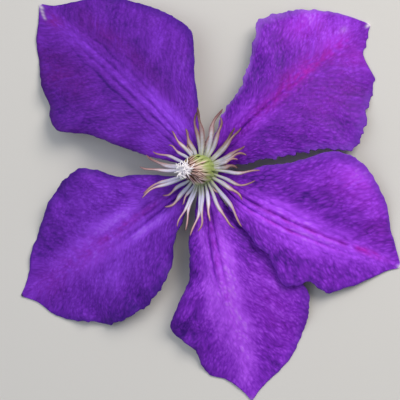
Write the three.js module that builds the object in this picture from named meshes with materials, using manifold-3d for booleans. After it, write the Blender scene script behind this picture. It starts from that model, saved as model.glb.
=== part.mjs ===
// A large-flowered clematis blossom, picked with a short stub of stem and laid face up.
// Five violet tepals (the petal-like sepals) arch out from a small green receptacle and come
// down to the table at their tips, which carry the flower. Over the receptacle stand a ring of
// spread stamens, a barrel of upright stamens and a column of styles with a white curled tuft.
// Millimetres, +Z up. The origin is on the table, under the middle of the flower's box.
import * as THREE from 'three';
import { mergeVertices } from 'three/addons/utils/BufferGeometryUtils.js';
import Module from 'manifold-3d';

const wasm = await Module();
wasm.setup();

// Where the flower's axis stands in the frame
const axisX = 2.2;
const axisY = 8.1;

// Clearance between two pieces that touch
const gap = 0.3;

// Receptacle, with the cut stem below it
const stemRadius = 1.15;
const stemBottom = 1.6;
const stemTop = 6.4;
const bossRadius = 3.3;
const bossBottom = 9.3;
const bossTop = 11.7;

// Tepals: blade, dome of the midrib, cross section
const clawStart = bossRadius + gap;
const clawHalfWidth = 1.5;
const tipHalfWidth = 0.3;
const bladeThickness = 0.8;
const tipThickness = 0.62;
const domeDrop = 8.6;
const domeCrown = 4.5;
const marginDroop = 1.3;
const ribSpacing = 2.6;
const ribsPerSide = 2;
const ribDepth = 0.28;
const ribFade = { from: 2.6, over: 1.8 };
const ribLimit = 0.6;
const fadeOver = 0.25;
const wideWave = { height: 0.8, length: 15 };
const narrowWave = { height: 0.35, length: 8 };
const rowsAlong = 23;
const marginColumns = [0.28, 0.54, 0.78, 1];

// Each tepal: turn is the compass direction of its tip in degrees from +X, length runs from the
// axis to the tip. left and right give the half width in mm at a distance in mm from the axis.
// bow is the midrib's bend, lift raises a margin and ripple scales its waves, left then right.
const tepals = [
  {
    name: 'tepal_upper_left',
    turn: 136.7,
    length: 80,
    bow: -3.5,
    phase: 0.4,
    lift: [0, 0],
    ripple: [1, 1],
    color: '#5a2499',
    left: [[9, 5], [18, 10], [28, 14.5], [36, 18], [42, 22.5], [46, 24.8], [51, 23.6], [54, 21.2],
      [61, 18.4], [67, 14], [72, 10.2], [76, 5]],
    right: [[9, 7.5], [15, 13.2], [22, 19], [28, 24.3], [34, 29], [41, 28], [57, 21.5], [66, 15.6],
      [72, 7.9], [76.5, 2.5]],
  },
  {
    name: 'tepal_upper_right',
    turn: 41.7,
    length: 68,
    bow: 1.5,
    phase: 1.9,
    lift: [0, -0.8],
    ripple: [1, 0.6],
    color: '#8133c0',
    left: [[9, 5.2], [14, 8], [19, 10.2], [24, 10.8], [29, 13], [33, 16.5], [39, 20.8], [44, 24],
      [50, 21.5], [57, 16.5], [61, 12], [65, 6]],
    right: [[9, 6], [19, 11.9], [27, 17], [33, 20.7], [38, 26], [45, 23.5], [50, 19.5], [53, 17.2],
      [56, 16.3], [58.6, 11.5], [60.4, 5.5], [63, 3.6], [66, 1.6]],
  },
  {
    name: 'tepal_right',
    turn: -26.5,
    length: 67.3,
    bow: -2.2,
    phase: 3.1,
    lift: [1.4, 1.8],
    ripple: [0.6, 0.4],
    color: '#7c2fbc',
    left: [[8, 3.5], [12, 5.4], [17, 9.9], [23, 13.6], [28, 18], [31, 21], [36, 24], [40, 24.4],
      [44, 23.5], [50, 19.9], [55, 15.6], [60, 8.6], [65, 3]],
    right: [[8, 3.4], [12, 6.2], [19, 9.9], [25, 13.2], [30, 14.4], [34, 17.5], [38, 20.9],
      [42, 19.5], [45, 16.2], [50, 17.4], [55, 14.2], [59, 9.4], [64, 3.2]],
  },
  {
    name: 'tepal_lower',
    turn: -79.7,
    length: 73.9,
    bow: 0.3,
    phase: 4.4,
    lift: [-1.9, 0],
    ripple: [0.4, 1],
    color: '#8236c8',
    left: [[8, 3], [13, 5.2], [20, 11], [30, 18], [38, 22.5], [44, 24.6], [50, 23], [56, 19.6],
      [63, 14.3], [68, 7.6], [71, 3.2]],
    right: [[9, 4], [16, 6.3], [20, 9], [25, 9.2], [30, 10.6], [36, 13.4], [41, 17], [48, 21.3],
      [52, 18], [56, 14.6], [61, 14], [64, 12.3], [66, 7.4], [70, 3]],
  },
  {
    name: 'tepal_left',
    turn: -147.7,
    length: 76.5,
    bow: 1.8,
    phase: 5.6,
    lift: [0, 0],
    ripple: [1, 1],
    color: '#6a2cab',
    left: [[8, 4], [13, 8.5], [18, 12.3], [23, 17.1], [28, 21.7], [34, 24.6], [41, 26], [53, 24.8],
      [60, 19.9], [66, 15.5], [70, 10.9], [73, 4.4]],
    right: [[8, 2.9], [12, 5.5], [18, 10], [25, 13.6], [31, 20], [36, 23.2], [42, 23], [50, 20.3],
      [57, 16.3], [65, 10.9], [70, 5.2], [73.5, 2.2]],
  },
];

// Spread stamens: direction in degrees and reach in mm of each tip, seen from the axis
const collarHeight = 1.2;
const collarRadius = 4.9;
const spreadStamens = [
  [91, 19.6], [95, 18.4], [82, 10], [71, 20.3], [76, 15], [63, 17.7], [46, 17.2], [40, 18.6],
  [29, 15.9], [24, 15.2], [16, 12.2], [8, 11.5], [-2, 19.1], [-19, 17.8], [-35, 16.5], [-49, 22.3],
  [-57, 9.4], [-63, 21.7], [-74, 16.5], [-87, 19.3], [-97, 21], [-104, 19.7], [-111, 19.5],
  [-118, 12.6], [-131, 16.6], [-141, 14.9], [-154, 20.6], [-165, 20], [177, 19.8], [170, 18],
  [159, 16.5], [139, 13.3], [127, 15.5], [113, 14], [120, 9.6],
];

// Ranges that each spread stamen draws from: climb in mm per mm of reach, sideways bend in
// radians, and how far its tip curls down in mm
const spreadClimb = [0.27, 0.41];
const spreadBend = [-0.08, 0.08];
const spreadCurl = [-0.3, 0.7];
const spreadWidth = 1.6;
const strapThickness = 0.6;
const strapSteps = 5;

// Upright stamens: a barrel that swells over its ring and closes in on the styles. The profile
// gives the barrel's radius at a height over the ring's underside
const ringInner = 2;
const ringOuter = 3.3;
const ringHeight = 1;
const barrelCount = 19;
const barrelHeight = [7.8, 10.6];
const barrelTwist = [-0.45, 0.45];
const barrelWidth = 1.25;
const barrelRoot = 0.4;
const barrelProfile = [[0, 2.65], [1.4, 3.2], [3.5, 4], [6, 4.1], [8.6, 3.3], [10, 2.7], [11, 2.5]];

// Styles: a tapered column, and a tuft of stigmas that climb, spread and hook over
const coreRadius = ringInner - gap;
const coreHeight = 4;
const columnTop = 11.2;
const columnTopRadius = 1.2;
const tuftCount = 18;
const tuftStep = 2.4;
const tuftReach = [0.8, 3];
const tuftHeight = [2.8, 6.2];
const tuftHook = [0.4, 1.8];
const tuftTurn = [-0.25, 0.25];
const tuftRoot = { radius: 0.5, depth: 1 };
const stigmaWidth = 0.6;
const stigmaSteps = 4;

// The heart of the flower leans towards the left tepals, in mm per mm of height
const heartLean = -0.17;

const roundSides = 24;

// A repeatable sequence of numbers from 0 to 1
function seeded(seed) {
  let state = seed;
  return () => {
    state = (state * 1664525 + 1013904223) % 4294967296;
    return state / 4294967296;
  };
}

function drawn(random, [low, high]) {
  return low + (high - low) * random();
}

function smooth(x) {
  const clamped = Math.min(Math.max(x, 0), 1);
  return clamped * clamped * (3 - 2 * clamped);
}

// A smooth curve through a list of [position, value] pairs that adds no bumps of its own
function curveAt(pairs, position) {
  const last = pairs.length - 1;
  if (position <= pairs[0][0]) return pairs[0][1];
  if (position >= pairs[last][0]) return pairs[last][1];
  const rise = (k) => (pairs[k + 1][1] - pairs[k][1]) / (pairs[k + 1][0] - pairs[k][0]);
  const slope = (k) => {
    if (k === 0) return rise(0);
    if (k === last) return rise(last - 1);
    const before = rise(k - 1);
    const after = rise(k);
    return before * after <= 0 ? 0 : (2 * before * after) / (before + after);
  };
  let i = 0;
  while (position > pairs[i + 1][0]) i += 1;
  const step = pairs[i + 1][0] - pairs[i][0];
  const u = (position - pairs[i][0]) / step;
  const fromStart = (2 * u ** 3 - 3 * u ** 2 + 1) * pairs[i][1] + (u ** 3 - 2 * u ** 2 + u) * step * slope(i);
  const fromEnd = (3 * u ** 2 - 2 * u ** 3) * pairs[i + 1][1] + (u ** 3 - u ** 2) * step * slope(i + 1);
  return fromStart + fromEnd;
}

// The margin of one side of a tepal: its distance from the straight line from axis to tip
function marginAt(tepal, side, along) {
  const outline = side > 0 ? tepal.left : tepal.right;
  const whole = [[clawStart, clawHalfWidth], ...outline, [tepal.length, tipHalfWidth]];
  return side * curveAt(whole, along);
}

function midribAt(tepal, along) {
  const blade = (along - clawStart) / (tepal.length - clawStart);
  return tepal.bow * Math.sin(Math.PI * blade ** 0.7);
}

// The space between two ribs, as a part of the way from the midrib to the margin. The ribs run
// side by side over the blade and draw together at the claw and the tip
function ribStep(tepal, side, along) {
  const blade = (along - clawStart) / (tepal.length - clawStart);
  const spacing = ribSpacing * Math.sin(Math.PI * (0.04 + 0.92 * blade)) ** 0.6;
  const room = Math.abs(marginAt(tepal, side, along) - midribAt(tepal, along));
  return Math.min(spacing / room, ribLimit / ribsPerSide);
}

// A point of the upper face. reach goes from 0 at the midrib to 1 at the margin of that side.
// The ribs are sunk in, and get shallower away from the midrib. Droop, lift, waves and ribs fade
// out towards the claw and the tip
function upperFace(tepal, side, along, reach) {
  const index = side > 0 ? 0 : 1;
  const part = along / tepal.length;
  const midrib = midribAt(tepal, along);
  const room = Math.abs(marginAt(tepal, side, along) - midrib);
  const open = smooth(part / fadeOver) * smooth((1 - part) / fadeOver);
  const wide = Math.sin((2 * Math.PI * along) / wideWave.length + tepal.phase + side);
  const narrow = Math.sin((2 * Math.PI * along) / narrowWave.length + 2 * tepal.phase - side);
  const waves = wideWave.height * reach ** 3 * wide + narrowWave.height * reach ** 2 * narrow;
  const ribs = reach / ribStep(tepal, side, along);
  let height = tipThickness + domeDrop * (1 - smooth(part ** 1.5));
  height += domeCrown * Math.sin(Math.PI * part) * (1 - part);
  height -= open * marginDroop * reach ** 2;
  height += open * tepal.lift[index] * reach ** 1.5;
  height += open * tepal.ripple[index] * waves;
  height -= open * ribDepth * smooth((ribFade.from - ribs) / ribFade.over) * Math.cos(2 * Math.PI * ribs);
  return new THREE.Vector3(along, midrib + side * reach * room, Math.max(height, tipThickness));
}

// One tepal, with its tip along +X. The lower face lies flat on the table where it comes down
function tepalGeometry(tepal) {
  const places = [];
  for (let k = 0.5; k <= ribsPerSide; k += 0.5) places.push((step) => k * step);
  marginColumns.forEach((k) => places.push((step) => {
    const outerRib = ribsPerSide * step;
    return outerRib + k * (1 - outerRib);
  }));
  const columns = [
    ...places.map((place) => ({ side: -1, place })).reverse(),
    { side: 1, place: () => 0 },
    ...places.map((place) => ({ side: 1, place })),
  ];
  const upper = [];
  const lower = [];
  for (let row = 0; row <= rowsAlong; row += 1) {
    const along = clawStart + ((tepal.length - clawStart) * row) / rowsAlong;
    columns.forEach(({ side, place }) => {
      const point = upperFace(tepal, side, along, place(ribStep(tepal, side, along)));
      upper.push(point);
      lower.push(new THREE.Vector3(point.x, point.y, Math.max(point.z - bladeThickness, 0)));
    });
  }
  return plate(upper, lower, rowsAlong + 1, columns.length);
}

// A closed plate between two grids of points, split into the same triangles on both faces
function plate(upper, lower, rowCount, columnCount) {
  const points = [...upper, ...lower];
  const under = upper.length;
  const triangles = [];
  const at = (row, column) => row * columnCount + column;
  for (let row = 0; row < rowCount - 1; row += 1) {
    for (let column = 0; column < columnCount - 1; column += 1) {
      const a = at(row, column);
      const b = at(row + 1, column);
      const c = at(row + 1, column + 1);
      const d = at(row, column + 1);
      triangles.push([a, b, c], [a, c, d]);
      triangles.push([under + a, under + c, under + b], [under + a, under + d, under + c]);
    }
  }
  const rim = [];
  for (let row = 0; row < rowCount; row += 1) rim.push(at(row, 0));
  for (let column = 1; column < columnCount; column += 1) rim.push(at(rowCount - 1, column));
  for (let row = rowCount - 2; row >= 0; row -= 1) rim.push(at(row, columnCount - 1));
  for (let column = columnCount - 2; column > 0; column -= 1) rim.push(at(0, column));
  rim.forEach((from, k) => {
    const to = rim[(k + 1) % rim.length];
    triangles.push([from, under + from, under + to], [from, under + to, to]);
  });
  return closedMesh(points, triangles);
}

function closedMesh(points, triangles) {
  const numbers = points.flatMap((point) => point.toArray());
  const geometry = new THREE.BufferGeometry();
  geometry.setAttribute('position', new THREE.Float32BufferAttribute(numbers, 3));
  geometry.setIndex(triangles.flat());
  geometry.computeVertexNormals();
  return geometry;
}

// A flat strap along a path, with its width turned round the flower's axis at azimuth
function strap(path, azimuth, width, thickness) {
  const across = new THREE.Vector3(-Math.sin(azimuth), Math.cos(azimuth), 0);
  const points = [];
  const triangles = [];
  path.forEach((point, i) => {
    const before = path[Math.max(i - 1, 0)];
    const after = path[Math.min(i + 1, path.length - 1)];
    const along = after.clone().sub(before).normalize();
    const side = across.clone().addScaledVector(along, -across.dot(along)).normalize();
    const face = along.clone().cross(side);
    const half = width(i / (path.length - 1)) / 2;
    [[1, 1], [-1, 1], [-1, -1], [1, -1]].forEach(([s, f]) => {
      points.push(point.clone().addScaledVector(side, s * half).addScaledVector(face, (f * thickness) / 2));
    });
  });
  for (let i = 0; i < path.length - 1; i += 1) {
    for (let k = 0; k < 4; k += 1) {
      const a = 4 * i + k;
      const b = 4 * i + ((k + 1) % 4);
      triangles.push([a, b, b + 4], [a, b + 4, a + 4]);
    }
  }
  const end = 4 * (path.length - 1);
  triangles.push([0, 2, 1], [0, 3, 2]);
  triangles.push([end, end + 1, end + 2], [end, end + 2, end + 3]);
  return closedMesh(points, triangles);
}

function asSolid(geometry) {
  const bare = geometry.clone();
  bare.deleteAttribute('normal');
  bare.deleteAttribute('uv');
  const merged = mergeVertices(bare, 1e-4);
  const vertProperties = new Float32Array(merged.attributes.position.array);
  const triVerts = new Uint32Array(merged.index.array);
  return new wasm.Manifold(new wasm.Mesh({ numProp: 3, vertProperties, triVerts }));
}

// Several closed meshes grown together into one. Straps that only graze each other can leave
// specks between them, so the one large body is kept
function fused(geometries) {
  const joined = geometries.map(asSolid).reduce((whole, solid) => whole.add(solid));
  const bodies = joined.decompose().sort((a, b) => b.volume() - a.volume());
  const mesh = bodies[0].getMesh();
  const geometry = new THREE.BufferGeometry();
  geometry.setAttribute('position', new THREE.BufferAttribute(mesh.vertProperties, 3));
  geometry.setIndex(new THREE.BufferAttribute(mesh.triVerts, 1));
  geometry.computeVertexNormals();
  return geometry;
}

function turned(profile, segments) {
  const geometry = new THREE.LatheGeometry(profile.map(([r, z]) => new THREE.Vector2(r, z)), segments);
  return geometry.rotateX(Math.PI / 2);
}

// A point in the heart, at a radius, an azimuth and a height
function heartPoint(radius, azimuth, height) {
  return new THREE.Vector3(radius * Math.cos(azimuth), radius * Math.sin(azimuth), height);
}

// Leans a piece of the heart sideways, more the higher it stands
function leaned(geometry) {
  const shear = new THREE.Matrix4().makeShear(0, 0, 0, 0, heartLean, 0);
  return geometry.applyMatrix4(shear);
}

// A ring of rectangular section, standing on z = 0
function ringGeometry(inner, outer, height) {
  return turned([[inner, 0], [outer, 0], [outer, height], [inner, height], [inner, 0]], roundSides);
}

function receptacleGeometry() {
  return turned([
    [0, stemBottom],
    [stemRadius, stemBottom],
    [stemRadius, stemTop],
    [1.7, 7.4],
    [2.7, 8.5],
    [bossRadius, bossBottom],
    [bossRadius, bossTop],
    [0, bossTop],
  ], roundSides);
}

// The spread stamens stand on a collar round the receptacle, widen and thin out to their tips
function spreadStamensGeometry() {
  const random = seeded(11);
  const inner = bossRadius + gap;
  const root = (inner + collarRadius) / 2;
  const parts = [ringGeometry(inner, collarRadius, collarHeight)];
  const swell = (u) => 0.55 + 0.45 * Math.sin(Math.PI * Math.min(1.25 * u, 1));
  const width = (u) => spreadWidth * swell(u) * (1 - 0.4 * u ** 3);
  spreadStamens.forEach(([direction, reach]) => {
    const azimuth = THREE.MathUtils.degToRad(direction);
    const climb = drawn(random, spreadClimb);
    const bend = drawn(random, spreadBend);
    const curl = drawn(random, spreadCurl);
    const path = [];
    for (let i = 0; i <= strapSteps; i += 1) {
      const u = i / strapSteps;
      const out = root + (reach - root) * u;
      const up = collarHeight / 2 + (reach - root) * climb * (u ** 0.9 - 0.25 * u ** 3) - curl * u ** 5;
      path.push(heartPoint(out, azimuth + bend * Math.sin(Math.PI * u), up));
    }
    parts.push(strap(path, azimuth, width, strapThickness));
  });
  return fused(parts).translate(0, 0, bossTop - collarHeight);
}

function uprightStamensGeometry() {
  const random = seeded(29);
  const parts = [ringGeometry(ringInner, ringOuter, ringHeight)];
  const width = (u) => barrelWidth * (1 - 0.25 * u);
  for (let n = 0; n < barrelCount; n += 1) {
    const azimuth = (2 * Math.PI * (n + random() / 2)) / barrelCount;
    const height = drawn(random, barrelHeight);
    const twist = drawn(random, barrelTwist);
    const path = [];
    for (let i = 0; i <= strapSteps; i += 1) {
      const u = i / strapSteps;
      const up = barrelRoot + (height - barrelRoot) * u;
      path.push(heartPoint(curveAt(barrelProfile, up), azimuth + twist * u ** 2, up));
    }
    parts.push(strap(path, azimuth, width, strapThickness));
  }
  return leaned(fused(parts)).translate(0, 0, bossTop + gap);
}

function pistilsGeometry() {
  const random = seeded(61);
  const parts = [turned([
    [0, 0],
    [coreRadius, 0],
    [coreRadius, coreHeight],
    [columnTopRadius, columnTop],
    [0, columnTop + columnTopRadius / 2],
  ], roundSides / 2)];
  const width = () => stigmaWidth;
  for (let n = 0; n < tuftCount; n += 1) {
    const azimuth = n * tuftStep;
    const reach = drawn(random, tuftReach);
    const rise = drawn(random, tuftHeight) + tuftRoot.depth;
    const hook = drawn(random, tuftHook);
    const turn = drawn(random, tuftTurn);
    const path = [];
    for (let i = 0; i <= stigmaSteps; i += 1) {
      const u = i / stigmaSteps;
      const out = tuftRoot.radius + reach * u ** 1.6;
      const climbed = Math.sin((Math.PI / 2) * Math.min(1.2 * u, 1));
      const up = columnTop - tuftRoot.depth + rise * climbed - hook * u ** 4;
      path.push(heartPoint(out, azimuth + turn * u, up));
    }
    parts.push(strap(path, azimuth, width, stigmaWidth));
  }
  return leaned(fused(parts)).translate(0, 0, bossTop + gap);
}

function piece(name, geometry, color, roughness) {
  const material = new THREE.MeshStandardMaterial({ color, roughness, metalness: 0 });
  const mesh = new THREE.Mesh(geometry, material);
  mesh.name = name;
  return mesh;
}

const flower = new THREE.Group();
flower.position.set(axisX, axisY, 0);
flower.add(piece('stem_and_receptacle', receptacleGeometry(), '#7f9a4e', 0.6));
tepals.forEach((tepal) => {
  const mesh = piece(tepal.name, tepalGeometry(tepal), tepal.color, 0.7);
  mesh.rotation.z = THREE.MathUtils.degToRad(tepal.turn);
  flower.add(mesh);
});
flower.add(piece('open_stamens', spreadStamensGeometry(), '#b9aecb', 0.6));
flower.add(piece('inner_stamens', uprightStamensGeometry(), '#9fa763', 0.6));
flower.add(piece('pistils', pistilsGeometry(), '#e6e3e6', 0.6));

export default flower;
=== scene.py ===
"""A large-flowered clematis blossom, picked and laid face up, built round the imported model."""
import math

import bmesh
import bpy
from mathutils import Matrix, Vector, noise


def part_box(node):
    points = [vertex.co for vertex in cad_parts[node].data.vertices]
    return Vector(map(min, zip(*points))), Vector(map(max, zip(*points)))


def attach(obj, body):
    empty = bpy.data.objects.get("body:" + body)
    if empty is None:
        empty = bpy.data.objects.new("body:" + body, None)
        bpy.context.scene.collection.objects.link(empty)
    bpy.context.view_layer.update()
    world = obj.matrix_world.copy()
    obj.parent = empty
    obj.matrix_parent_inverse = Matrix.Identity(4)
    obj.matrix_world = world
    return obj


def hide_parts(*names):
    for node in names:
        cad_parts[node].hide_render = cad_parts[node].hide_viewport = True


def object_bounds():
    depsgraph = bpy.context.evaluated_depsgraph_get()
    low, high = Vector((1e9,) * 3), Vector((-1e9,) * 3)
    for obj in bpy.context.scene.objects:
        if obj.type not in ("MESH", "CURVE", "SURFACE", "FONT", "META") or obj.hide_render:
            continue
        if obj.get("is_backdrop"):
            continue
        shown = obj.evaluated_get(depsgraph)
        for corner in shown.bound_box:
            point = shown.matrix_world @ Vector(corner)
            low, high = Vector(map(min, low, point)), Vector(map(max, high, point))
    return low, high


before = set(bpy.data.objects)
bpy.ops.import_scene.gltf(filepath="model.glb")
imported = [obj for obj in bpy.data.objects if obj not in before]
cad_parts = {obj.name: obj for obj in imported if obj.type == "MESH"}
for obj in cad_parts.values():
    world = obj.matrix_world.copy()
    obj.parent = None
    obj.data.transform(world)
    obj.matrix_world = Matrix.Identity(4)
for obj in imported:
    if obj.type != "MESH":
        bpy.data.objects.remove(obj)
cad_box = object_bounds()


# Table, daylight and camera. The flower lies on a pale table in soft daylight that comes from
# above and to the right. The camera looks down on it, from 15 degrees to the right of upright.
mm = 0.001
stem_low, stem_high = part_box("stem_and_receptacle")
axis_x = (stem_low[0] + stem_high[0]) / 2 / mm
axis_y = (stem_low[1] + stem_high[1]) / 2 / mm
boss_top = stem_high[2] / mm

view_lean = math.radians(15)
camera_distance = 500 * mm
picture_side = 400
pixels_per_mm = 3.2
heart_pixel = (203, 170)
heart_height = 11
sensor_width = 36


def flower_point(x, y, z):
    """A place in metres from millimetres out from the flower's axis and up from the table."""
    return Vector((axis_x + x, axis_y + y, z)) * mm


heart = flower_point(0, 0, heart_height)
view_right = Vector((math.cos(view_lean), 0, -math.sin(view_lean)))
view_up = Vector((0, 1, 0))
view_back = Vector((math.sin(view_lean), 0, math.cos(view_lean)))
pixel = mm / pixels_per_mm
aim = heart - view_right * (heart_pixel[0] - picture_side / 2) * pixel
aim -= view_up * (picture_side / 2 - heart_pixel[1]) * pixel

camera_data = bpy.data.cameras.new("camera")
camera_data.sensor_width = sensor_width
camera_data.lens = sensor_width * camera_distance / (picture_side * pixel)
camera_data.clip_start = 0.01
camera = bpy.data.objects.new("camera", camera_data)
turned = Matrix((view_right, view_up, view_back)).transposed().to_4x4()
camera.matrix_world = Matrix.Translation(aim + view_back * camera_distance) @ turned
bpy.context.collection.objects.link(camera)
scene = bpy.context.scene
scene.camera = camera
scene.view_settings.view_transform = "Standard"


def linear(hex_colour):
    """An sRGB hex colour as linear red, green, blue and alpha."""
    channels = [int(hex_colour[i:i + 2], 16) / 255 for i in (1, 3, 5)]
    return [c / 12.92 if c <= 0.04045 else ((c + 0.055) / 1.055) ** 2.4 for c in channels] + [1]


def add_light(name, direction, distance, size, power, colour):
    """A square area light that shines on the flower from a direction."""
    data = bpy.data.lights.new(name, "AREA")
    data.size = size
    data.energy = power
    data.color = linear(colour)[:3]
    light = bpy.data.objects.new(name, data)
    light.location = heart + Vector(direction).normalized() * distance
    light.rotation_euler = (light.location - heart).to_track_quat("Z", "Y").to_euler()
    bpy.context.collection.objects.link(light)


add_light("window", (0.75, 0.7, 0.85), 0.9, 0.5, 6.8, "#fff6ee")
add_light("sky", (-0.5, 0.2, 1.0), 1.1, 1.4, 4.4, "#eef2ff")
world = bpy.data.worlds.new("daylight")
world.use_nodes = True
world.node_tree.nodes["Background"].inputs["Color"].default_value = linear("#e9edf5")
world.node_tree.nodes["Background"].inputs["Strength"].default_value = 0.3
scene.world = world


def add_node(tree, kind, inputs=None, stops=None, output=None, **settings):
    """A shader node with its settings, its inputs as values or links, and its colour stops. It
    gives back the output that is named, or the first one that the settings leave on."""
    made = tree.nodes.new(kind)
    for name, value in settings.items():
        setattr(made, name, value)
    for name, value in (inputs or {}).items():
        if isinstance(value, bpy.types.NodeSocket):
            tree.links.new(value, made.inputs[name])
        else:
            made.inputs[name].default_value = value
    if stops:
        places = sorted(stops)
        made.color_ramp.elements[0].position = places[0]
        made.color_ramp.elements[1].position = places[-1]
        for place in places[1:-1]:
            made.color_ramp.elements.new(place)
        for element, place in zip(made.color_ramp.elements, places):
            element.color = linear(stops[place])
    return made.outputs[output] if output else next(socket for socket in made.outputs if socket.enabled)


def new_material(name, roughness):
    """A dielectric material, with its node tree and its shader."""
    material = bpy.data.materials.new(name)
    material.use_nodes = True
    shader = material.node_tree.nodes["Principled BSDF"]
    shader.inputs["Roughness"].default_value = roughness
    return material, material.node_tree, shader


def add_piece(name, bm, materials):
    """A smooth object from a bmesh in millimetres."""
    bmesh.ops.scale(bm, vec=(mm, mm, mm), verts=bm.verts)
    for face in bm.faces:
        face.smooth = True
    mesh = bpy.data.meshes.new(name)
    bm.to_mesh(mesh)
    bm.free()
    for material in materials:
        mesh.materials.append(material)
    piece = bpy.data.objects.new(name, mesh)
    bpy.context.collection.objects.link(piece)
    return piece


# The table top is matt paint over smooth board, so that only soft shadows show on it.
table_side = 3000
table_bm = bmesh.new()
bmesh.ops.create_grid(table_bm, x_segments=1, y_segments=1, size=table_side / 2)
table_paint, _, table_shader = new_material("pale_table_paint", 0.8)
table_shader.inputs["Base Color"].default_value = linear("#d9d9d4")
add_piece("table", table_bm, [table_paint])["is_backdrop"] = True


# Tepals: the five petal-like sepals. Each is a thin velvety blade that arches out from a narrow
# claw on the receptacle and comes down to the table at its tip. Ribs are sunk in its bright
# middle bar, a net of veins puckers the rest, and its margins are waved.
claw_start = 2.4
claw_half_width = 1.3
tip_half_width = 0.3
solid_thickness = 0.8
blade_thickness = 0.45
tip_thickness = 0.62
dome_drop = 8.6
dome_crown = 4.5
margin_droop = 1.3
rib_spacing = 2.6
ribs_per_side = 2
rib_depth = 0.28
rib_limit = 0.6
groove_half_width = 0.24
fade_over = 0.25
tooth_length = 3.2
small_tooth_length = 1.1
tooth_floor = 0.25
wide_wave = {"height": 0.8, "length": 15}
narrow_wave = {"height": 0.35, "length": 8}
fold_height = 0.22
fold_size = (6, 16)
pucker_height = 0.24
vein_sweep = 1.1
vein_straightening = 0.012
vein_sway = 6
raised_vein = (2, 5)
soft_vein = (2.4, 6)
fine_vein = (1, 7)
rows_along = 224
columns_across = 164

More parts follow.
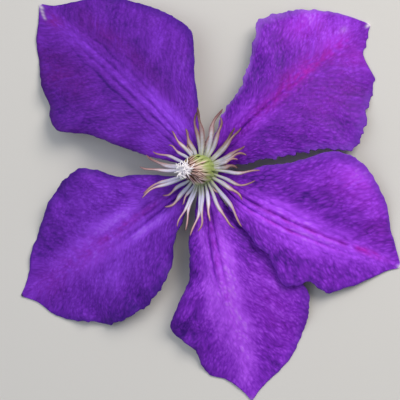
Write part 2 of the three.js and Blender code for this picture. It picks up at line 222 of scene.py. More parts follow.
# turn is the way a tepal points, in degrees, bow how far its midrib bends to the left, and phase
# where its waves start. lift raises its left and right margins, and ripple is how strongly each is
# waved. cell is the width of the cells between its veins, and puckers how far they stand out.
# skin gives its colours: the veins, with painted shade in the hollows, the blade, the tops of the
# cells in its bars, and a painted highlight where these catch the light; the skins of the two
# left-hand tepals are deeper than the others, partly as painted shade. flush is its magenta, from
# dark to bright, and edges the colours of its right and left margins: painted shade on most
# margins, and a painted rim light on the upper margins of the two right-hand tepals. ribs gives how
# deep each rib is sunk, by its number left (+) of the midrib, and ribs_fade the part of the length
# over which they run out. scallops is the depth of the teeth on the left and right margins, and
# side_veins how clearly the fine veins show that run out to them. The lists lilac, magenta, dark and
# white are soft spots: millimetres along, left (+), half length and half width, and strength. Some
# lilac spots are painted light where a tepal faces the light, and the dark spots are partly the
# tepal's own deeper colour and partly painted shade, on sides turned away from the light and under a
# neighbouring tepal. left and right give the outline, as half widths at distances from the axis.
tepals = {
    "tepal_upper_left": dict(
        turn=136.7, length=80, bow=-3.5, phase=0.4, lift=(0, 0), ripple=(1, 1), cell=0.9, puckers=0.6,
        skin=("#3c0c7a", "#6a22ae", "#8a3ae0", "#9852f0"), flush=("#560c84", "#8c24ac"),
        edges=("#3f1488", "#3a0c64"), tip="#ddd2e4", ribs={0: 0.5, 1: 0.7, 2: 0.9, -1: 0.45, -2: 0.3},
        ribs_fade=(0.5, 0.95), scallops=(0.5, 0.6), side_veins=0.8,
        lilac=[(20, -2.4, 12, 2.6, 0.9), (23, 1, 14, 1.5, 0.6), (46, 1, 18, 3.4, 0.2),
               (22, 4, 12, 1, 0.35), (42, -17, 13, 6, 0.15), (16, 8, 7, 4, 0.3), (62, 0.5, 9, 2, 0.3)],
        magenta=[(73, 1.6, 4, 2, 0.9), (46, -7, 16, 2.6, 0.5), (60, -5, 9, 3, 0.4), (60, 14, 14, 7, 0.65)],
        dark=[(34, 6.9, 14, 1.8, 0.25), (40, -8.5, 18, 3, 0.55), (62, 12, 12, 7, 0.5),
              (59, -4, 9, 2, 0.5), (71, -5, 5, 3, 0.4), (56, 20, 14, 6, 0.85), (45, 18, 7, 5, 0.6),
              (60, -15, 14, 8, 0.25)],
        white=[(75.6, 2.6, 0.7, 0.4, 0.5), (76.7, 2.1, 0.7, 0.4, 0.6), (77.8, 1.4, 0.8, 0.4, 0.65),
               (79, 0.5, 0.9, 0.5, 0.9)],
        left=[(9, 5), (18, 10), (28, 14.5), (36, 18), (42, 22.5), (46, 24.8), (51, 23.6), (54, 21.2),
              (61, 18.4), (67, 14), (72, 10.2), (76, 5)],
        right=[(9, 7.5), (15, 13.2), (22, 19), (28, 24.3), (34, 29), (41, 28), (57, 21.5), (66, 15.6),
               (72, 7.9), (76.5, 2.5)]),
    "tepal_upper_right": dict(
        turn=41.7, length=68, bow=1.5, phase=1.9, lift=(0, -0.8), ripple=(1, 0.6), cell=0.9, puckers=0.8,
        skin=("#420e80", "#7420b6", "#a03eec", "#ba6afc"), flush=("#7c0c94", "#bc14cc"),
        edges=("#6a30b0", "#9060cc"), tip="#eee4f4", ribs={0: 0.9, 1: 0.4, -1: 0.5},
        ribs_fade=(0.25, 0.8), scallops=(1.6, 2.4), side_veins=0.5,
        lilac=[(55, 14, 7, 5, 0.85), (58, 5, 7, 4, 0.5), (59, -6, 5, 4, 0.4), (20, 3, 9, 2, 0.4),
               (22, -2.5, 9, 1.5, 0.5), (60, 3, 6, 4, 0.4)],
        magenta=[(43, 0.2, 7, 0.8, 1), (52, 0.8, 6, 0.9, 0.4), (42, 1.6, 9, 3.2, 0.5),
                 (54, 1.6, 8, 3.2, 0.3), (53, 12, 8, 6, 0.25), (30, 0, 12, 2, 0.4),
                 (46, -10, 14, 8, 0.2), (58, -4, 7, 4, 0.2)],
        dark=[(25, -8, 9, 4, 0.45), (34, 10, 9, 4, 0.35), (33, -14, 6, 4, 0.3), (50, -12, 9, 7, 0.3)],
        white=[(67.4, 0, 0.8, 0.5, 0.9), (61, 3.8, 1.2, 1, 0.12)],
        left=[(9, 5.2), (14, 8), (19, 10.2), (24, 10.8), (29, 13), (33, 16.5), (39, 20.8), (44, 24),
              (50, 21.5), (57, 16.5), (61, 12), (65, 6)],
        right=[(9, 6), (19, 11.9), (27, 17), (33, 20.7), (38, 26), (45, 23.5), (50, 19.5), (53, 17.2),
               (56, 16.3), (58.6, 11.5), (60.4, 5.5), (63, 3.6), (66, 1.6)]),
    "tepal_right": dict(
        turn=-26.5, length=67.3, bow=-2.2, phase=3.1, lift=(1.4, 1.8), ripple=(0.6, 0.4), cell=1.3,
        puckers=0.75,
        skin=("#3e0c7e", "#7c26c2", "#ac48fc", "#bc66ff"), flush=("#5c0f86", "#b41ec4"),
        edges=("#3e1080", "#6c34b4"), tip="#e6def0", ribs={0: 0.9, 1: 0.35, -1: 0.9, -2: 0.6},
        ribs_fade=(0.45, 0.95), scallops=(0.6, 1.4), side_veins=0.15,
        lilac=[(31, 2.4, 16, 2.6, 0.85), (27, -2.4, 14, 2.4, 0.85), (42, -2, 14, 3.6, 0.75),
               (36, -5.6, 11, 2.6, 0.5), (59, 0, 8, 2.6, 0.45), (43, 21, 7, 4, 0.8), (52, 15, 6, 4, 0.45)],
        magenta=[(56, 0.6, 5, 1, 0.75), (34, 0, 20, 0.7, 0.45), (32, -2.6, 14, 0.6, 0.4),
                 (44, 17, 9, 7, 0.25), (57, 8, 7, 5, 0.2)],
        dark=[(33, 9.5, 11, 2.8, 0.45), (22, -8, 8, 2.8, 0.7), (34, -11, 8, 3, 0.5),
              (15, 6, 6, 2.6, 0.4), (47, 9, 6, 3, 0.25), (58, 7, 6, 4, 0.25)],
        white=[(66.9, 0, 0.7, 0.5, 0.5)],
        left=[(8, 3.5), (12, 5.4), (17, 9.9), (23, 13.6), (28, 18), (31, 21), (36, 24), (40, 24.4),
              (44, 23.5), (50, 19.9), (55, 15.6), (60, 8.6), (65, 3)],
        right=[(8, 3.4), (12, 6.2), (19, 9.9), (25, 13.2), (30, 14.4), (34, 17.5), (38, 20.9),
               (42, 19.5), (45, 16.2), (50, 17.4), (55, 14.2), (59, 9.4), (64, 3.2)]),
    "tepal_lower": dict(
        turn=-79.7, length=73.9, bow=0.3, phase=4.4, lift=(-1.9, 0), ripple=(0.4, 1), cell=1.1, puckers=0.7,
        skin=("#400c80", "#8028c8", "#b656ff", "#c478ff"), flush=("#661090", "#b034e8"),
        edges=("#3a0e76", "#5c22a0"), tip="#9a62c8", ribs={0: 0.7, 1: 0.3, -1: 0.8, -2: 0.3},
        ribs_fade=(0.3, 0.6), scallops=(0.8, 0.8), side_veins=0.3,
        lilac=[(29, 2.3, 15, 2.2, 0.85), (22, -4.3, 8, 1.4, 0.55), (42, 0, 17, 5.4, 0.72),
               (38, 1, 13, 2, 0.45), (62, 0, 9, 3.6, 0.6), (40, -5.5, 10, 3, 0.5),
               (46, 14, 15, 7, 0.2)],
        magenta=[(24, -0.9, 13, 1.5, 0.5), (44, 0, 14, 1.6, 0.15), (45, 12, 14, 7, 0.25)],
        dark=[(24, 10, 8, 4, 0.3), (21, 8, 6, 3, 0.3), (24, -8.5, 7, 2.4, 0.4),
              (49, -17, 7, 6, 0.6), (30, -9, 9, 3, 0.3), (59, 9, 9, 4, 0.45)],
        white=[(73.4, 0, 0.8, 0.8, 0.6)],
        left=[(8, 3), (13, 5.2), (20, 11), (30, 18), (38, 22.5), (44, 24.6), (50, 23), (56, 19.6),
              (63, 14.3), (68, 7.6), (71, 3.2)],
        right=[(9, 4), (16, 6.3), (20, 9), (25, 9.2), (30, 10.6), (36, 13.4), (41, 17), (48, 21.3),
               (52, 18), (56, 14.6), (61, 14), (64, 12.3), (66, 7.4), (70, 3)]),
    "tepal_left": dict(
        turn=-147.7, length=76.5, bow=1.8, phase=5.6, lift=(0, 0), ripple=(1, 1), cell=1.0, puckers=0.65,
        skin=("#360a78", "#6e24b6", "#9444ea", "#a862fa"), flush=("#5a0f88", "#a030d0"),
        edges=("#380f7a", "#3f1482"), tip="#3c3458", ribs={0: 0.5, 1: 1, -1: 0.3},
        ribs_fade=(0.25, 0.6), scallops=(1.1, 0.7), side_veins=0.3,
        lilac=[(26, 3.9, 13, 1.8, 1), (33, -4.4, 13, 2.8, 0.95), (46, 3.2, 12, 3, 0.6),
               (36, 0.8, 14, 1.4, 0.6), (50, -3, 12, 4, 0.55), (66, 0, 7, 4, 0.2),
               (44, 10, 10, 4, 0.45), (36, -12, 10, 6, 0.25)],
        magenta=[(30, -0.9, 16, 1.1, 0.6), (48, 0, 14, 4.6, 0.3), (66, 2, 7, 5, 0.3)],
        dark=[(18, -6, 6, 2, 0.4), (20, 12, 6, 4, 0.2), (60, -10, 8, 4, 0.2), (44, 21, 12, 3.5, 0.5)],
        white=[],
        left=[(8, 4), (13, 8.5), (18, 12.3), (23, 17.1), (28, 21.7), (34, 24.6), (41, 26), (53, 24.8),
              (60, 19.9), (66, 15.5), (70, 10.9), (73, 4.4)],
        right=[(8, 2.9), (12, 5.5), (18, 10), (25, 13.6), (31, 20), (36, 23.2), (42, 23), (50, 20.3),
               (57, 16.3), (65, 10.9), (70, 5.2), (73.5, 2.2)]),
}


def smooth(x):
    """A step from 0 to 1 with soft ends."""
    x = min(max(x, 0), 1)
    return x * x * (3 - 2 * x)


def curve_at(pairs, position):
    """A smooth curve through (position, value) pairs that adds no bumps of its own."""
    last = len(pairs) - 1
    if position <= pairs[0][0]:
        return pairs[0][1]
    if position >= pairs[last][0]:
        return pairs[last][1]

    def rise(k):
        return (pairs[k + 1][1] - pairs[k][1]) / (pairs[k + 1][0] - pairs[k][0])

    def slope(k):
        if k in (0, last):
            return rise(min(k, last - 1))
        before, after = rise(k - 1), rise(k)
        return 0 if before * after <= 0 else 2 * before * after / (before + after)

    i = 0
    while position > pairs[i + 1][0]:
        i += 1
    step = pairs[i + 1][0] - pairs[i][0]
    u = (position - pairs[i][0]) / step
    start = (2 * u ** 3 - 3 * u ** 2 + 1) * pairs[i][1] + (u ** 3 - 2 * u ** 2 + u) * step * slope(i)
    return start + (3 * u ** 2 - 2 * u ** 3) * pairs[i + 1][1] + (u ** 3 - u ** 2) * step * slope(i + 1)


def blade_row(tepal, along):
    """What the points of a tepal at one distance from the axis have in common."""
    blade = (along - claw_start) / (tepal["length"] - claw_start)
    part = along / tepal["length"]
    midrib = tepal["bow"] * math.sin(math.pi * blade ** 0.7)
    claw, tip = (claw_start, claw_half_width), (tepal["length"], tip_half_width)
    height = tip_thickness + dome_drop * (1 - smooth(part ** 1.5))
    scallops = {}
    for side, depth in zip((1, -1), tepal["scallops"]):
        teeth = abs(noise.noise(Vector((along / tooth_length, 10 * side, 7 * tepal["phase"]))))
        teeth += 0.3 * noise.noise(Vector((along / small_tooth_length, 10 * side, 7 * tepal["phase"])))
        ends = smooth(blade / 0.2) * smooth((1 - blade) / 0.1)
        scallops[side] = depth * (teeth - tooth_floor) * ends
    return dict(
        along=along, blade=blade, midrib=midrib, scallops=scallops,
        room={1: curve_at([claw, *tepal["left"], tip], along) - midrib,
              -1: curve_at([claw, *tepal["right"], tip], along) + midrib},
        spacing=rib_spacing * math.sin(math.pi * (0.04 + 0.92 * blade)) ** 0.6,
        open=smooth(part / fade_over) * smooth((1 - part) / fade_over),
        height=height + dome_crown * math.sin(math.pi * part) * (1 - part))


def spots(features, along, out):
    """How strongly the soft spots of a list show at a place, from 0 to 1."""
    clear = 1
    for x, y, length, width, strength in features:
        clear *= 1 - strength * math.exp(-((along - x) / length) ** 2 - ((out - y) / width) ** 2)
    return 1 - clear


def veined(tepal, along, out, ribs):
    """The relief between the veins, from 0 in a vein to 1 on the top of a cell, the soft folds, and
    how the colour varies from vein to vein.
    The cells are about 1 mm wide. In the middle bar they are longer and follow the ribs. Beside it
    they follow the side veins, which run forward from the midrib and out to the margin."""
    seed = 10 * tepal["phase"]
    # noise_vector would do both at once, but its values change from run to run.
    sway = Vector([noise.noise(Vector((along / vein_sway, out / vein_sway, seed + layer)))
                   for layer in (20, 40)])
    flow = along - abs(out) * (vein_sweep - vein_straightening * abs(out)) + 1.2 * sway.x
    drift = out + sway.y
    cell = tepal["cell"]
    near, far = noise.voronoi(Vector((flow / cell, drift / (1.15 * cell), seed)))[0][:2]
    cells = smooth((far - near) / 0.5)
    veins = min(abs(noise.noise(Vector((flow / raised_vein[0], drift / raised_vein[1], seed)))) * 4.5, 1)
    near, far = noise.voronoi(Vector(((along + sway.x) / (1.7 * cell), drift / cell, seed)))[0][:2]
    pillows = smooth((far - near) / 0.6)
    beside = smooth((abs(ribs) - 0.6) / 2.4)
    fold = noise.noise(Vector((flow / fold_size[0], out / fold_size[1], seed)))
    mottled = noise.noise(Vector((flow / cell, drift / (1.4 * cell), seed + 3))) * beside
    mottled += noise.noise(Vector((along / (2 * cell), drift / cell, seed + 3))) * (1 - beside)
    soft_veins = noise.noise(Vector((flow / soft_vein[0], drift / soft_vein[1], seed + 6)))
    fine_veins = noise.noise(Vector((flow / fine_vein[0], drift / fine_vein[1], seed + 9)))
    # The folds go into the colour too, lighter on their crests and darker in their troughs: painted light
    # and shade on the folds.
    mottled += 0.6 * soft_veins + 0.5 * fold
    mottled += tepal["side_veins"] * fine_veins * beside
    relief = (0.15 + 0.8 * pillows) * (1 - beside) + (0.8 * cells + 0.2 * veins) * beside
    return relief, fold, mottled, Vector((flow, drift, 0))


def upper_face(tepal, row, side, reach):
    """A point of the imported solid's upper face, with its fine relief, and its marks."""
    index = 0 if side > 0 else 1
    along, room = row["along"], row["room"][side]
    wide = math.sin(2 * math.pi * along / wide_wave["length"] + tepal["phase"] + side)
    narrow = math.sin(2 * math.pi * along / narrow_wave["length"] + 2 * tepal["phase"] - side)
    waves = wide_wave["height"] * reach ** 3 * wide + narrow_wave["height"] * reach ** 2 * narrow
    ribs = side * reach / min(row["spacing"] / room, rib_limit / ribs_per_side)
    out = side * (reach * room - row["scallops"][side] * reach ** 8)
    cells, fold, mottled, vein_place = veined(tepal, along, out, ribs)
    stray = noise.noise(Vector((along / 6, side * 3, tepal["phase"])))
    waver = ribs + 0.3 * stray * smooth(abs(ribs) / 1.5)
    rib = round(waver)
    broken = 0.8 + 0.7 * noise.noise(Vector((along / 5, 5 * rib, tepal["phase"])))
    fade_from, fade_to = tepal["ribs_fade"]
    runs_out = smooth((fade_to - row["blade"]) / (fade_to - fade_from))
    sunk = tepal["ribs"].get(rib, 0) * runs_out * min(max(broken, 0), 1)
    groove = sunk * (1 - min(abs(waver - rib) / groove_half_width, 1)) ** 1.2
    near = smooth((2.6 - abs(ribs)) / 1.8)
    lift = tepal["lift"][index] * reach ** 1.5 + tepal["ripple"][index] * waves
    lift -= margin_droop * reach ** 2
    lift += fold_height * fold * smooth(reach / 0.3) + pucker_height * tepal["puckers"] * (cells - 0.5)
    lift += rib_depth * near * (0.6 * sunk * (1 - math.cos(2 * math.pi * waver)) - 1.3 * groove)
    height = max(row["height"] + row["open"] * lift, tip_thickness)
    marks = {key: spots(tepal[key], along, out) for key in ("lilac", "magenta", "dark", "white")}
    marks.update(cells=cells, mottled=mottled, groove=groove, ribs=ribs, blade=row["blade"],
                 across=side * reach, vein_place=vein_place * mm)
    return Vector((along, row["midrib"] + out, height)), marks


def tepal_skin(name, tepal):
    """Living petal skin: tiny domed cells full of violet sap give a soft sheen over deep colour."""
    material, tree, shader = new_material(name, 0.6)
    marks = {key: add_node(tree, "ShaderNodeAttribute", output="Fac", attribute_name=key)
             for key in ("cells", "mottled", "groove", "lilac", "magenta", "dark", "white", "blade",
                         "across")}
    place = add_node(tree, "ShaderNodeTexCoord", output="Object")
    cloudy = add_node(tree, "ShaderNodeTexNoise", {"Vector": place, "Scale": 1 / (8 * mm), "Detail": 2})
    vein_place = add_node(tree, "ShaderNodeAttribute", output="Vector", attribute_name="vein_place")
    strokes = add_node(tree, "ShaderNodeMapping", {"Vector": vein_place, "Scale": (1, 0.75, 1)})
    grainy = add_node(tree, "ShaderNodeTexNoise", {"Vector": strokes, "Scale": 1 / (0.7 * mm), "Detail": 3})
    puckers = tepal["puckers"]
    # The tone is lighter on the tops of the cells and darker in the veins and sunk ribs, partly painted
    # light and shade on the relief; the lilac spots are partly painted light and the dark spots partly
    # painted shade.
    tone = 0.04 - 0.18 * puckers
    for value, weight in ((marks["cells"], 0.32 * puckers), (marks["mottled"], 0.26 * puckers),
                          (grainy, 0.34), (cloudy, 0.26), (marks["lilac"], 0.6),
                          (marks["dark"], -0.26), (marks["groove"], -0.42)):
        tone = add_node(tree, "ShaderNodeMath", {0: value, 1: weight, 2: tone}, operation="MULTIPLY_ADD")
    colour = add_node(tree, "ShaderNodeValToRGB", {"Fac": tone},
                      dict(zip((0, 0.34, 0.74, 1), tepal["skin"])))
    flushed = add_node(tree, "ShaderNodeValToRGB", {"Fac": tone}, dict(zip((0, 0.62), tepal["flush"])))
    patchy = add_node(tree, "ShaderNodeMath", {0: marks["mottled"], 1: -1.0, 2: 0.85},
                      operation="MULTIPLY_ADD")
    flush = add_node(tree, "ShaderNodeMath", {0: patchy, 1: marks["magenta"]}, operation="MULTIPLY",
                     use_clamp=True)
    colour = add_node(tree, "ShaderNodeMix", {0: flush, 6: colour, 7: flushed}, data_type="RGBA")
    # The margins get painted shade on most tepals, and a paler painted rim light on the upper margins of the
    # two right-hand tepals.
    right_rim_light_and_shade, left_rim_light_and_shade = tepal["edges"]
    halves = add_node(tree, "ShaderNodeMapRange", {
        "Value": marks["across"], "From Min": -1, "From Max": 1})
    margin_light_and_shade = add_node(tree, "ShaderNodeValToRGB", {"Fac": halves}, {0: right_rim_light_and_shade, 1: left_rim_light_and_shade})
    outward = add_node(tree, "ShaderNodeMath", {0: marks["across"]}, operation="ABSOLUTE")
    rim = add_node(tree, "ShaderNodeMapRange", {
        "Value": outward, "From Min": 0.86, "From Max": 1.0, "To Max": 0.7})
    colour = add_node(tree, "ShaderNodeMix", {0: rim, 6: colour, 7: margin_light_and_shade}, data_type="RGBA")
    point = add_node(tree, "ShaderNodeMapRange", {
        "Value": marks["blade"], "From Min": 0.988, "From Max": 0.998}, interpolation_type="SMOOTHSTEP")
    bleached = add_node(tree, "ShaderNodeMath", {0: marks["white"], 1: point}, operation="MAXIMUM")
    colour = add_node(tree, "ShaderNodeMix", {0: bleached, 6: colour, 7: linear(tepal["tip"])},
                      data_type="RGBA")
    tree.links.new(colour, shader.inputs["Base Color"])
    bump = add_node(tree, "ShaderNodeBump", {"Height": grainy, "Strength": 0.5, "Distance": 0.1 * mm})
    tree.links.new(bump, shader.inputs["Normal"])
    shader.inputs["Specular IOR Level"].default_value = 0.2
    shader.inputs["Sheen Weight"].default_value = 0.06
    shader.inputs["Sheen Roughness"].default_value = 0.4
    shader.inputs["Sheen Tint"].default_value = linear("#a070f0")
    return material


def underside_skin():
    """The back of a tepal: the same skin, matt with fine hairs, paler, and greenish along its bar."""
    material, tree, shader = new_material("petal_underside", 0.75)
    ribs = add_node(tree, "ShaderNodeAttribute", output="Fac", attribute_name="ribs")
    cells = add_node(tree, "ShaderNodeAttribute", output="Fac", attribute_name="cells")
    place = add_node(tree, "ShaderNodeTexCoord", output="Object")
    downy = add_node(tree, "ShaderNodeTexNoise", {"Vector": place, "Scale": 1 / (0.9 * mm), "Detail": 4})
    outward = add_node(tree, "ShaderNodeMath", {0: ribs}, operation="ABSOLUTE")
    ragged = add_node(tree, "ShaderNodeMath", {0: downy, 1: 2.4, 2: outward}, operation="MULTIPLY_ADD")
    away = add_node(tree, "ShaderNodeMapRange", {"Value": ragged, "From Min": 1.2, "From Max": 5})
    colour = add_node(tree, "ShaderNodeValToRGB", {"Fac": away}, {
        0: "#9484a4", 0.3: "#8a70a8", 0.6: "#7c50ac", 1: "#7344a8"})
    tone = add_node(tree, "ShaderNodeMath", {0: cells, 1: 0.45}, operation="MULTIPLY")
    colour = add_node(tree, "ShaderNodeMix", {0: tone, 6: colour, 7: linear("#5c2c94")}, data_type="RGBA")
    tree.links.new(colour, shader.inputs["Base Color"])
    bump = add_node(tree, "ShaderNodeBump", {"Height": downy, "Strength": 0.6, "Distance": 0.15 * mm})
    tree.links.new(bump, shader.inputs["Normal"])
    return material


def blade_mesh(tepal):
    """A tepal as a closed blade, from one grid for the upper face and its copy for the lower."""
    bm = bmesh.new()
    layers = {}
    bmesh.ops.create_grid(bm, x_segments=rows_along, y_segments=columns_across, size=1)
    for key in ("cells", "mottled", "groove", "ribs", "blade", "across", "lilac", "magenta", "dark",
                "white"):
        layers[key] = bm.verts.layers.float.new(key)
    layers["vein_place"] = bm.verts.layers.float_vector.new("vein_place")
    steps = [k / rows_along for k in range(rows_along + 1)]
    rows = [blade_row(tepal, claw_start + (tepal["length"] - claw_start) * u) for u in steps]
    for vertex in bm.verts:
        row = rows[round((vertex.co.x + 1) / 2 * rows_along)]
        side = 1 if vertex.co.y > 0 else -1
        vertex.co, values = upper_face(tepal, row, side, abs(vertex.co.y))
        for key, value in values.items():
            vertex[layers[key]] = value
    copy = bmesh.ops.duplicate(bm, geom=bm.verts[:] + bm.edges[:] + bm.faces[:])
    under = set(copy["geom"])
    under_faces = [part for part in under if isinstance(part, bmesh.types.BMFace)]
    bmesh.ops.reverse_faces(bm, faces=under_faces)
    for face in under_faces:
        face.material_index = 1
    for vertex in bm.verts:
        if vertex in under:
            vertex.co.z = max(vertex.co.z - (solid_thickness + blade_thickness) / 2, 0)
        else:
            vertex.co.z -= (solid_thickness - blade_thickness) / 2
    bmesh.ops.bridge_loops(bm, edges=[edge for edge in bm.edges if edge.is_boundary])
    bmesh.ops.rotate(bm, matrix=Matrix.Rotation(math.radians(tepal["turn"]), 3, "Z"), verts=bm.verts)
    bmesh.ops.translate(bm, vec=(axis_x, axis_y, 0), verts=bm.verts)
    return bm


petal_underside = underside_skin()
for tepal_name, tepal_shape in tepals.items():
    petal_skin = tepal_skin("petal_skin_" + tepal_name, tepal_shape)
    tepal_piece = add_piece(tepal_name + "_blade", blade_mesh(tepal_shape), [petal_skin, petal_underside])
    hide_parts(tepal_name)
    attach(tepal_piece, "root")


# Receptacle and stem. The fleshy green disc carries everything above it and narrows into a stub
# of the flower stalk, ridged and finely hairy. Where it was cut through, it shows a ring of vessels
# round a pale pith.
stem_profile = [(0, 1.9), (0.9, 1.75), (1.15, 1.6), (1.15, 6.4), (1.7, 7.4), (2.7, 8.5), (3.3, 9.3),
                (3.3, 11.5), (3.1, 11.7), (0, 11.7)]
stem_ridges = 6
ridge_height = 0.06
stem_radius = 1.15
stem_top = 6.4
disc_foot = 9.3
stem_sides = 72
hair_count = 260
hair_length = (0.35, 0.8)
hair_width = 0.05


def turn_profile(bm, profile, sides):
    """A profile of (radius, height) points spun round the axis."""
    verts = [bm.verts.new((radius, 0, height)) for radius, height in profile]
    edges = [bm.edges.new(pair) for pair in zip(verts, verts[1:])]
    bmesh.ops.spin(bm, geom=verts + edges, axis=(0, 0, 1), cent=(0, 0, 0), steps=sides,
                   angle=2 * math.pi, use_merge=True)
    bmesh.ops.remove_doubles(bm, verts=bm.verts, dist=1e-4)
    bmesh.ops.recalc_face_normals(bm, faces=bm.faces)


def seeded(state):
    """A repeatable sequence of numbers from 0 to 1."""
    while True:
        state = (state * 1664525 + 1013904223) % 4294967296
        yield state / 4294967296


def drawn(numbers, limits):
    """The next number of a sequence, stretched to lie between two limits."""
    return limits[0] + (limits[1] - limits[0]) * next(numbers)


stem_bm = bmesh.new()
stem_out = stem_bm.verts.layers.float.new("from_axis")
stem_cut = stem_bm.verts.layers.float.new("cut")
stem_groove = stem_bm.verts.layers.float.new("groove")
turn_profile(stem_bm, stem_profile, stem_sides)
bmesh.ops.subdivide_edges(
    stem_bm, edges=[edge for edge in stem_bm.edges if edge.calc_length() > 0.9], cuts=6, use_grid_fill=True)
for vertex in stem_bm.verts:
    radius = math.hypot(vertex.co.x, vertex.co.y)
    around = math.atan2(vertex.co.y, vertex.co.x)
    vertex[stem_cut] = 1 if vertex.co.z < 2 and radius < stem_radius - 0.05 else 0
    vertex[stem_out] = radius / stem_radius
    vertex[stem_groove] = (1 - math.cos(stem_ridges * around)) / 2
    fades = 1 - 0.6 * smooth((vertex.co.z - stem_top) / (disc_foot - stem_top))
    rough = 0.03 * noise.noise(Vector((3 * around, vertex.co.z / 1.5, 4)))
    swell = 1 - fades * (ridge_height * vertex[stem_groove] + rough)
    vertex.co.x *= swell
    vertex.co.y *= swell
bmesh.ops.recalc_face_normals(stem_bm, faces=stem_bm.faces)
bmesh.ops.translate(stem_bm, vec=(axis_x, axis_y, 0), verts=stem_bm.verts)

# Living stem skin is satiny and flushed with purple towards the flower; its furrows are darkened with
# painted shade.
stem_skin, stem_tree, stem_shader = new_material("living_stem_skin", 0.5)
stem_marks = {key: add_node(stem_tree, "ShaderNodeAttribute", output="Fac", attribute_name=key)
              for key in ("from_axis", "cut", "groove")}
stem_place = add_node(stem_tree, "ShaderNodeTexCoord", output="Object")
stem_grain = add_node(stem_tree, "ShaderNodeMapping", {"Vector": stem_place, "Scale": (1, 1, 0.2)})
stem_streaks = add_node(stem_tree, "ShaderNodeTexNoise", {
    "Vector": stem_grain, "Scale": 1 / (0.5 * mm), "Detail": 4})
stem_height = add_node(stem_tree, "ShaderNodeSeparateXYZ", {"Vector": stem_place}, output="Z")
stem_rise = add_node(stem_tree, "ShaderNodeMapRange", {
    "Value": stem_height, "From Min": stem_top * mm, "From Max": disc_foot * mm})
stem_green = add_node(stem_tree, "ShaderNodeValToRGB", {"Fac": stem_streaks}, {
    0.25: "#5f7a38", 0.5: "#7f9a4e", 0.75: "#a2b46c"})
stem_flush = add_node(stem_tree, "ShaderNodeValToRGB", {"Fac": stem_streaks}, {
    0.3: "#5c4a50", 0.6: "#83905c", 0.8: "#a8ba78"})
stem_colour = add_node(stem_tree, "ShaderNodeMix", {0: stem_rise, 6: stem_green, 7: stem_flush},
                       data_type="RGBA")
# Painted shade in the furrows.
stem_shade = add_node(stem_tree, "ShaderNodeMath", {0: stem_marks["groove"], 1: 0.4}, operation="MULTIPLY")
stem_colour = add_node(stem_tree, "ShaderNodeMix", {0: stem_shade, 6: stem_colour, 7: linear("#4f6a30")},
                       data_type="RGBA")
stem_rings = add_node(stem_tree, "ShaderNodeValToRGB", {"Fac": stem_marks["from_axis"]}, {
    0: "#cdd3a6", 0.45: "#bfc892", 0.55: "#82964f", 0.7: "#9cac6a", 0.85: "#66823c", 1: "#5a7434"})
stem_colour = add_node(stem_tree, "ShaderNodeMix", {0: stem_marks["cut"], 6: stem_colour, 7: stem_rings},
                       data_type="RGBA")
stem_tree.links.new(stem_colour, stem_shader.inputs["Base Color"])
stem_bump = add_node(stem_tree, "ShaderNodeBump", {
    "Height": stem_streaks, "Strength": 0.5, "Distance": 0.08 * mm})
stem_tree.links.new(stem_bump, stem_shader.inputs["Normal"])
stem = add_piece("stem_and_disc", stem_bm, [stem_skin])
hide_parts("stem_and_receptacle")
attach(stem, "root")

# The hairs are dead and dry: thin white points that stand out from the stem and lie a little upward.
hair_bm = bmesh.new()
hair_draws = seeded(3)
for n in range(hair_count):
    around = drawn(hair_draws, (0, 2 * math.pi))
    height = drawn(hair_draws, (1.8, stem_top + 0.8))
    length = drawn(hair_draws, hair_length)
    hair_way = Vector((math.cos(around), math.sin(around), drawn(hair_draws, (0, 0.8)))).normalized()
    hair_root = Vector((axis_x, axis_y, height)) + Vector((math.cos(around), math.sin(around), 0)) * (
        stem_radius * (1 - ridge_height * (1 - math.cos(stem_ridges * around)) / 2) - 0.03)
    hair_turn = hair_way.to_track_quat("Z", "Y").to_matrix().to_4x4()
    bmesh.ops.create_cone(
        hair_bm, cap_ends=True, segments=4, radius1=hair_width / 2, radius2=hair_width / 8, depth=length,
        matrix=Matrix.Translation(hair_root + hair_way * length / 2) @ hair_turn)
hair_skin, hair_tree, hair_shader = new_material("dry_stem_hair", 0.4)
hair_place = add_node(hair_tree, "ShaderNodeTexCoord", output="Object")
hair_tint = add_node(hair_tree, "ShaderNodeTexNoise", {"Vector": hair_place, "Scale": 1 / (1 * mm)})
hair_colour = add_node(hair_tree, "ShaderNodeValToRGB", {"Fac": hair_tint}, {0.3: "#c8ccb0", 0.7: "#eef0e4"})
hair_tree.links.new(hair_colour, hair_shader.inputs["Base Color"])
hairs = add_piece("stem_hairs", hair_bm, [hair_skin])
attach(hairs, "root")


# Spread stamens. Each has a flat pale lilac filament, broadest halfway, that rises from a collar
# round the disc and leans out, and a narrow tan-pink anther along its outer part. The tips wither
# first, so many are hooked.
collar_height = 1.2
collar_radius = 4.9
collar_bottom = boss_top - collar_height
spread_stamens = [
    (91, 19.6), (95, 18.4), (82, 10), (71, 20.3), (76, 15), (63, 17.7), (46, 17.2), (40, 18.6),
    (29, 15.9), (24, 15.2), (16, 12.2), (8, 11.5), (-2, 19.1), (-19, 17.8), (-35, 16.5), (-49, 22.3),
    (-57, 9.4), (-63, 21.7), (-74, 16.5), (-87, 19.3), (-97, 21), (-104, 19.7), (-111, 19.5),
    (-118, 12.6), (-131, 16.6), (-141, 14.9), (-154, 20.6), (-165, 20), (177, 19.8), (170, 18),
    (159, 16.5), (139, 13.3), (127, 15.5), (113, 14), (120, 9.6),
]
spread_climb = (0.27, 0.41)
spread_bend = (-0.08, 0.08)
spread_curl = (-0.3, 0.7)
roll_range = (-0.9, 0.9)
hook_range = (-0.14, 0.14)
breadth_range = (0.8, 1.2)
withered_side = math.radians(60)
usual_age = 0.32
age_by_side = 0.42
age_range = (-0.25, 0.25)
withered_breadth = 0.4
withered_browning = 0.14
